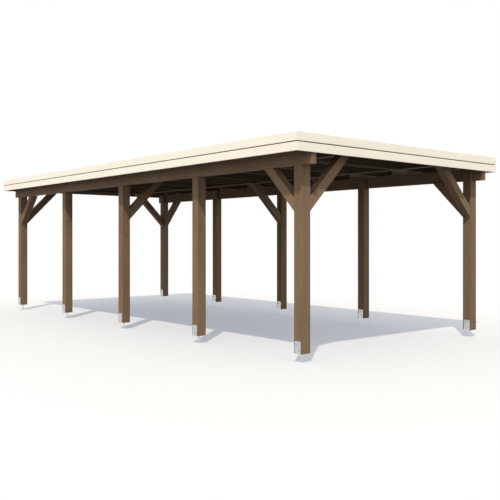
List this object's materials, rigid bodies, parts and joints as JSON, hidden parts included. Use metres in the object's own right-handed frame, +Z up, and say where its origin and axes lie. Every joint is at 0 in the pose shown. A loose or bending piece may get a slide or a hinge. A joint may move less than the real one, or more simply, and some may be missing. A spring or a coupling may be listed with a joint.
{
  "type": "flat roof carport",
  "caption": "Open timber carport with a flat roof, braced square posts on steel anchors, long side beams and a two-board fascia all round.",
  "frame": {"origin": "on the ground under the middle of the roof", "axes": "+Z up, +Y along the carport from the front end to the rear end, +X across it to the right seen from the front"},
  "size_m": [3.6, 7.68, 2.335],
  "materials": {
    "post_timber": "walnut-brown stained softwood, planed, matt",
    "beam_timber": "walnut-brown stained softwood, planed, matt",
    "brace_timber": "walnut-brown stained softwood, planed, matt",
    "joist_timber": "walnut-brown stained softwood, planed, matt",
    "fascia_paint": "cream opaque paint on planed boards, satin",
    "deck_boards": "brown stained tongue-and-groove boards, matt",
    "roof_membrane": "dark grey roofing membrane, matt",
    "anchor_steel": "hot-dip galvanised flat steel and rod, dull"
  },
  "bodies": {
    "root": {"post_left_1": "post_timber", "post_left_2": "post_timber", "post_left_3": "post_timber", "post_left_4": "post_timber", "post_left_5": "post_timber", "post_right_1": "post_timber", "post_right_2": "post_timber", "post_right_3": "post_timber", "post_right_4": "post_timber", "post_right_5": "post_timber", "anchor_left_1": "anchor_steel", "anchor_left_2": "anchor_steel", "anchor_left_3": "anchor_steel", "anchor_left_4": "anchor_steel", "anchor_left_5": "anchor_steel", "anchor_right_1": "anchor_steel", "anchor_right_2": "anchor_steel", "anchor_right_3": "anchor_steel", "anchor_right_4": "anchor_steel", "anchor_right_5": "anchor_steel", "beam_left": "beam_timber", "beam_right": "beam_timber", "long_brace_left_front": "brace_timber", "long_brace_left_rear": "brace_timber", "long_brace_right_front": "brace_timber", "long_brace_right_rear": "brace_timber", "cross_brace_left_front": "brace_timber", "cross_brace_left_middle": "brace_timber", "cross_brace_left_rear": "brace_timber", "cross_brace_right_front": "brace_timber", "cross_brace_right_middle": "brace_timber", "cross_brace_right_rear": "brace_timber", "tie_front": "joist_timber", "tie_middle": "joist_timber", "tie_rear": "joist_timber", "joists": "joist_timber", "fascia_lower_front": "fascia_paint", "fascia_lower_right": "fascia_paint", "fascia_lower_rear": "fascia_paint", "fascia_lower_left": "fascia_paint", "fascia_upper_front": "fascia_paint", "fascia_upper_right": "fascia_paint", "fascia_upper_rear": "fascia_paint", "fascia_upper_left": "fascia_paint", "roof_deck": "deck_boards", "roof_covering": "roof_membrane"}
  },
  "joints": []
}
